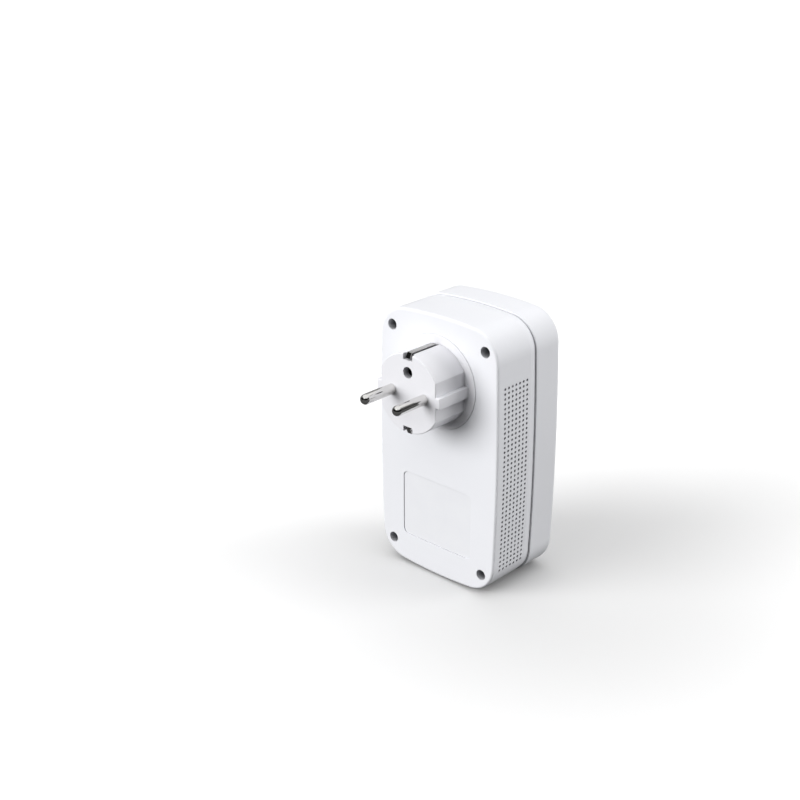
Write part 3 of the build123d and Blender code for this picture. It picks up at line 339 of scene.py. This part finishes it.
# acrylic, moulded clear and frosted: pale and milky, with a little light passing through
guideAcrylic = {
    "tint": "#F4F8FA", "milky": "#E3EAEE", "clear": 0.4, "ior": 1.49, "roughness": (0.18, 0.34),
    "grainMm": 0.3, "grainDetail": 2.0, "grainDepthMm": 0.01, "bumpStrength": 0.5,
}


def lightGuide(name, look):
    # the frosting's grain drives the tint, the gloss and the bump alike
    material, tree, place = newMaterial(name)
    grain = addNode(tree, "ShaderNodeTexNoise",
                    {"Scale": perMetre(look["grainMm"]), "Detail": look["grainDetail"]}, Vector=place)
    bump = addNode(tree, "ShaderNodeBump",
                   {"Strength": look["bumpStrength"], "Distance": look["grainDepthMm"] * mm},
                   Height=grain.outputs[0])
    colour = addNode(tree, "ShaderNodeMix",
                     {"data_type": "RGBA", 6: linear(look["milky"]), 7: linear(look["tint"])},
                     _0=grain.outputs[0])
    smoothest, roughest = look["roughness"]
    gloss = addNode(tree, "ShaderNodeMapRange", {"To Min": smoothest, "To Max": roughest},
                    Value=grain.outputs[0])
    shader = addNode(tree, "ShaderNodeBsdfPrincipled",
                     {"IOR": look["ior"], "Transmission Weight": look["clear"]},
                     Base_Color=colour.outputs[2], Roughness=gloss.outputs[0], Normal=bump.outputs[0])
    addNode(tree, "ShaderNodeOutputMaterial", Surface=shader.outputs[0])
    return material


# the finish of each material slot that the record names
finishes = {
    "case_white": mouldedPlastic("satinCaseAbs", caseAbs),
    "button_white": mouldedPlastic("satinButtonAbs", caseAbs),
    "plug_white": mouldedPlastic("plugPolyamide", plugPolyamide),
    "carrier_grey": mouldedPlastic("carrierPolyamide", carrierPolyamide),
    "shutter_white": mouldedPlastic("shutterAcetal", shutterAcetal),
    "black_plastic": mouldedPlastic("packageEpoxy", packageEpoxy),
    "varistor_blue": mouldedPlastic("dippedEpoxy", dippedEpoxy),
    "capacitor_yellow": mouldedPlastic("pottedBox", pottedBox),
    "capacitor_sleeve": mouldedPlastic("shrunkSleeve", shrunkSleeve),
    "label_film": mouldedPlastic("labelFilm", labelFilm),
    "sheet_film": mouldedPlastic("insulationSheet", insulationSheet),
    "ferrite": mouldedPlastic("sinteredFerrite", sinteredFerrite),
    "led_body": mouldedPlastic("lightPackage", lightPackage),
    "nickel_brass": platedMetal("nickelPlate", nickelPlate),
    "tinned_bronze": platedMetal("tinnedBronze", tinnedBronze),
    "tinned_steel": platedMetal("tinnedSheet", tinnedSheet),
    "zinc_steel": platedMetal("zincPlate", zincPlate),
    "brass_strip": platedMetal("stampedBrass", stampedBrass),
    "enamelled_copper": platedMetal("enamelledCopper", enamelledCopper),
    "spring_steel": platedMetal("drawnSpring", drawnSpring),
    "aluminium_fins": platedMetal("extrudedAluminium", extrudedAluminium),
    "gold_contacts": platedMetal("goldWire", goldWire),
    "board_green": printedBoard("solderMaskBoard", boardMask),
    "clear_acrylic": lightGuide("guideAcrylic", guideAcrylic),
}
for part in frame["record"]["subparts"]:
    for held in frame["nodes"][part["node"]].material_slots:
        held.material = finishes[part["material_slot"]]
print("finishes on:", len(finishes))


# the floor: plain matt white card with painted shade around the adapter, greyest near centreMm and
# painted white from nearMm out to farMm; thrown is the colour that other surfaces see, darker so that
# the undersides stay in shade
floorLook = {
    "sideM": 8.0, "segments": 8, "light": "#E6E6E6", "dark": "#E3E3E3", "far": "#FFFFFF",
    "thrown": "#4E4E4E", "mottleMm": 400.0, "roughness": 0.9,
    "nearMm": 40.0, "farMm": 190.0, "centreMm": (-45.0, -50.0),
}


def buildFloor(look):
    lowest = cadBox[0][2]  # the adapter stands on its lower end
    mesh = bpy.data.meshes.new("floor")
    sheet = bmesh.new()
    bmesh.ops.create_grid(sheet, x_segments=look["segments"], y_segments=look["segments"],
                          size=look["sideM"] / 2)
    bmesh.ops.translate(sheet, verts=sheet.verts, vec=(0, 0, lowest))
    sheet.to_mesh(mesh)
    sheet.free()
    floor = bpy.data.objects.new("floor", mesh)
    bpy.context.scene.collection.objects.link(floor)
    material, tree, place = newMaterial("whiteCard")
    mottle = addNode(tree, "ShaderNodeTexNoise", {"Scale": perMetre(look["mottleMm"])}, Vector=place)
    card = addNode(tree, "ShaderNodeMix",
                   {"data_type": "RGBA", 6: linear(look["dark"]), 7: linear(look["light"])},
                   _0=mottle.outputs[0])
    # painted shade on the floor: the card is greyer near centreMm, beside the adapter where its shadow
    # falls, and painted white from nearMm to farMm
    x, y = (size * mm for size in look["centreMm"])
    apart = addNode(tree, "ShaderNodeVectorMath", {"operation": "DISTANCE", 1: (x, y, lowest)},
                    _0=place)
    away = addNode(tree, "ShaderNodeMapRange",
                   {"From Min": look["nearMm"] * mm, "From Max": look["farMm"] * mm,
                    "interpolation_type": "SMOOTHSTEP"}, _0=apart.outputs["Value"])
    paintedShadeCard = addNode(tree, "ShaderNodeMix", {"data_type": "RGBA", 7: linear(look["far"])},
                    _0=away.outputs[0], _6=card.outputs[2])
    seen = addNode(tree, "ShaderNodeLightPath").outputs["Is Camera Ray"]
    colour = addNode(tree, "ShaderNodeMix", {"data_type": "RGBA", 6: linear(look["thrown"])},
                     _0=seen, _7=paintedShadeCard.outputs[2])
    shader = addNode(tree, "ShaderNodeBsdfPrincipled", {"Roughness": look["roughness"]},
                     Base_Color=colour.outputs[2])
    addNode(tree, "ShaderNodeOutputMaterial", Surface=shader.outputs[0])
    mesh.materials.append(material)


buildFloor(floorLook)
print("floor laid")

# studio: a soft key on the plug's side, a low fill from the -X side, a small lamp for the glints
# on metal, a bright ceiling, a grey backdrop behind the adapter and darkness behind the camera;
# paper is what the camera sees past the floor
studio = {
    "key": {"from": (0.58, 1.2, 0.38), "spread": 42.0, "power": 3.15, "mirrored": False},
    "fill": {"from": (-0.85, -0.72, 0.2), "spread": 40.0, "power": 2.4, "mirrored": False},
    "spark": {"from": (-0.1, 1.0, 0.75), "spread": 14.0, "power": 0.12, "mirrored": True},
    "wall": "#060607", "ceiling": "#FFFFFF", "wallTop": 0.5, "ceilingFrom": 0.72,
    "backdrop": "#8A8A8A", "backdropTowards": (0.56, -0.83, 0.0),
    "backdropFrom": 0.0, "backdropFull": 0.7, "ambient": 1.08, "paper": "#FFFFFF",
}


def hangLight(name, look):
    light = bpy.data.lights.new(name, "SUN")
    light.energy = look["power"]
    light.angle = math.radians(look["spread"])
    lamp = bpy.data.objects.new(name, light)
    lamp.visible_glossy = look["mirrored"]
    lamp.rotation_mode = "QUATERNION"
    lamp.rotation_quaternion = Vector(look["from"]).to_track_quat("Z", "Y")
    bpy.context.scene.collection.objects.link(lamp)


def lightStudio(look):
    for name in ("key", "fill", "spark"):
        hangLight(name, look[name])
    world = bpy.data.worlds.new("studio")
    world.use_nodes = True
    tree = world.node_tree
    tree.nodes.clear()
    direction = addNode(tree, "ShaderNodeTexCoord").outputs["Generated"]
    towards = addNode(tree, "ShaderNodeVectorMath",
                      {"operation": "DOT_PRODUCT", 1: look["backdropTowards"]}, _0=direction)
    lit = addNode(tree, "ShaderNodeMapRange",
                  {"From Min": look["backdropFrom"], "From Max": look["backdropFull"]},
                  Value=towards.outputs["Value"])
    walls = addNode(tree, "ShaderNodeMix",
                    {"data_type": "RGBA", 6: linear(look["wall"]), 7: linear(look["backdrop"])},
                    _0=lit.outputs[0])
    up = addNode(tree, "ShaderNodeSeparateXYZ", Vector=direction).outputs["Z"]
    rise = addNode(tree, "ShaderNodeMapRange",
                   {"From Min": look["wallTop"], "From Max": look["ceilingFrom"]}, Value=up)
    colour = addNode(tree, "ShaderNodeMix", {"data_type": "RGBA", 7: linear(look["ceiling"])},
                     _0=rise.outputs[0], _6=walls.outputs[2])
    room = addNode(tree, "ShaderNodeBackground", {"Strength": look["ambient"]},
                   Color=colour.outputs[2])
    paper = addNode(tree, "ShaderNodeBackground", {"Strength": 1.0, "Color": linear(look["paper"])})
    seen = addNode(tree, "ShaderNodeLightPath").outputs["Is Camera Ray"]
    both = addNode(tree, "ShaderNodeMixShader", Fac=seen, _1=room.outputs[0], _2=paper.outputs[0])
    addNode(tree, "ShaderNodeOutputWorld", Surface=both.outputs[0])
    bpy.context.scene.world = world
    bpy.context.scene.view_settings.view_transform = "Standard"


lightStudio(studio)
print("studio lit")

# the camera looks down on the plug and on the -X side of the case: millimetres and degrees
cameraPlace = {
    "target": (16.94, -19.4, -16.17), "azimuth": 222.82, "elevation": 22.8, "roll": -0.17,
    "distance": 615.0, "lens": 60.18, "sensor": 36.0, "nearest": 10.0, "shift": (-0.0119, 0.0067),
}


def placeCamera(place):
    turn = math.radians(place["azimuth"])
    rise = math.radians(place["elevation"])
    flat = math.cos(rise)
    outward = Vector((math.sin(turn) * flat, -math.cos(turn) * flat, math.sin(rise)))
    body = bpy.data.cameras.new("camera")
    body.lens = place["lens"]
    body.sensor_width = place["sensor"]
    body.shift_x, body.shift_y = place["shift"]
    body.clip_start = place["nearest"] * mm
    camera = bpy.data.objects.new("camera", body)
    facing = outward.to_track_quat("Z", "Y").to_matrix().to_4x4()
    rolled = facing @ Matrix.Rotation(math.radians(place["roll"]), 4, "Z")
    eye = (Vector(place["target"]) + outward * place["distance"]) * mm
    camera.matrix_world = Matrix.Translation(eye) @ rolled
    bpy.context.scene.collection.objects.link(camera)
    bpy.context.scene.camera = camera


placeCamera(cameraPlace)
print("camera placed")
